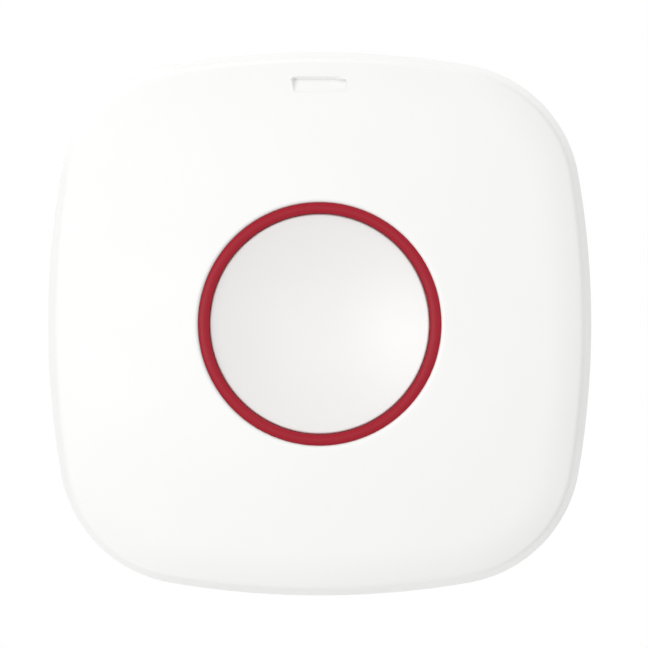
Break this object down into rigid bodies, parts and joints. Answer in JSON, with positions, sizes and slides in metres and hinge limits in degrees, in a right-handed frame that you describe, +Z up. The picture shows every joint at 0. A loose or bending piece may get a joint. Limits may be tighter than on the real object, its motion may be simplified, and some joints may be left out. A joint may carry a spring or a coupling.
{
  "type": "wireless panic button",
  "caption": "Square domed wall button with bowed sides: a dished white button in a red ring, an indicator slot and a slide-off wall plate.",
  "frame": {"origin": "middle of the wall plate's wall face", "axes": "+X right and +Z up for someone facing the button, +Y into the wall; the front faces -Y"},
  "size_m": [0.062, 0.0173, 0.062],
  "materials": {
    "shell_white": "moulded, satin",
    "ring_red": "moulded, satin",
    "guide_milky": "moulded, milky",
    "board_green": "solder mask on glass fibre",
    "switch_black": "moulded",
    "spring_steel": "drawn wire",
    "screw_steel": "zinc plated",
    "shield_tin": "tin plated",
    "chip_black": "moulded epoxy",
    "aerial_copper": "enamelled copper wire",
    "capacitor_tan": "fired ceramic",
    "resistor_black": "glazed film",
    "cell_steel": "nickel plated",
    "contact_nickel": "nickel plated",
    "lamp_white": "moulded"
  },
  "bodies": {
    "wall_bracket": {"wall_plate": "shell_white"},
    "case": {"front_cover": "shell_white", "trim_ring": "ring_red", "return_spring": "spring_steel", "light_guide": "guide_milky", "circuit_board": "board_green", "main_switch_body": "switch_black", "indicator_lamp": "lamp_white", "radio_shield": "shield_tin", "radio_chip": "chip_black", "controller_chip": "chip_black", "crystal": "shield_tin", "aerial_coil": "aerial_copper", "coin_cell": "cell_steel", "cell_holder": "switch_black", "negative_contact": "contact_nickel", "positive_contact": "contact_nickel", "tamper_switch_body": "switch_black", "rear_case": "shell_white", "capacitor_1": "capacitor_tan", "resistor_1": "resistor_black", "capacitor_2": "capacitor_tan", "resistor_2": "resistor_black", "capacitor_3": "capacitor_tan", "resistor_3": "resistor_black", "capacitor_4": "capacitor_tan", "resistor_4": "resistor_black", "case_screw_upper_right": "screw_steel", "case_screw_upper_left": "screw_steel", "case_screw_lower_left": "screw_steel", "case_screw_lower_right": "screw_steel"},
    "button": {"button_cap": "shell_white"},
    "switch_plunger": {"main_switch_plunger": "switch_black"},
    "door": {"battery_door": "shell_white"},
    "tamper_pin": {"tamper_plunger": "shell_white"}
  },
  "joints": [
    {"name": "case_slide", "type": "slide", "parent": "wall_bracket", "child": "case", "axis": [0, 0, 1], "range_m": [0, 0.005]},
    {"name": "button_press", "type": "slide", "parent": "case", "child": "button", "axis": [0, 1, 0], "range_m": [0, 0.0008], "stiffness_N_per_m": 1875, "springref_m": -0.00053, "deforming": ["return_spring"]},
    {"name": "switch_press", "type": "slide", "parent": "case", "child": "switch_plunger", "axis": [0, 1, 0], "range_m": [0, 0.0008]},
    {"name": "door_turn", "type": "hinge", "parent": "case", "child": "door", "pos_m": [0, 0, 0], "axis": [0, 1, 0], "range_deg": [0, 36]},
    {"name": "tamper_release", "type": "slide", "parent": "case", "child": "tamper_pin", "axis": [0, 1, 0], "range_m": [0, 0.0005]}
  ],
  "couplings": [
    {"joint": "switch_press", "follows": "button_press", "ratio": 1},
    {"joint": "tamper_release", "follows": "case_slide", "ratio": 0.1}
  ]
}
